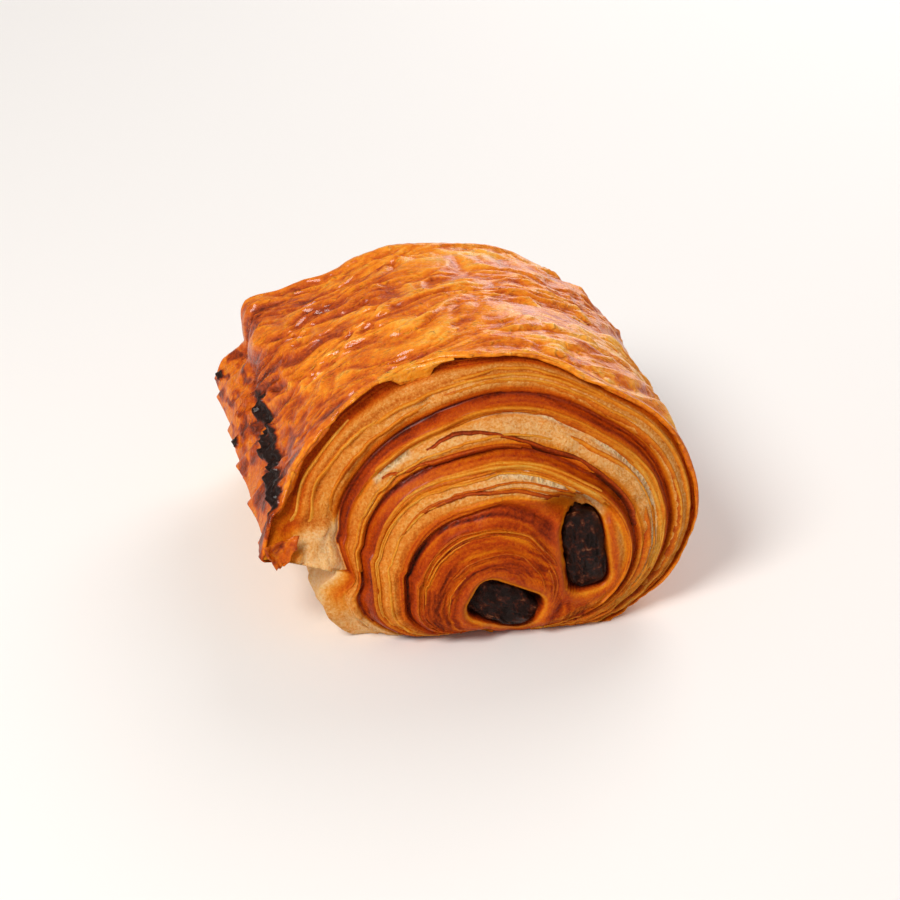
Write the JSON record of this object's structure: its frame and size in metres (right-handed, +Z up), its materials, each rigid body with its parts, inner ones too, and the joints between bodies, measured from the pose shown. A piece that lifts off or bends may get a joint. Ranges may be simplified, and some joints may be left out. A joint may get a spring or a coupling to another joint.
{
  "type": "pain au chocolat",
  "caption": "Rolled and glazed laminated pastry with a domed spiral end, a flared lip along one side and chocolate sticks that show at both ends.",
  "frame": {"origin": "on the surface that the pastry rests on, under the middle of its box", "axes": "+Z up, +Y along the roll and its chocolate sticks from the pictured spiral end to the far one, +X towards the side without the lip"},
  "size_m": [0.0818, 0.0874, 0.0526],
  "materials": {
    "pastry": "baked laminated dough: glossy golden to caramel glazed skin, matt pale crumb between the layers",
    "chocolate": "dark chocolate, satin, with fine scratches"
  },
  "bodies": {
    "root": {"pastry": "pastry", "chocolate_stick_core": "chocolate", "chocolate_stick_outer": "chocolate"}
  },
  "joints": []
}
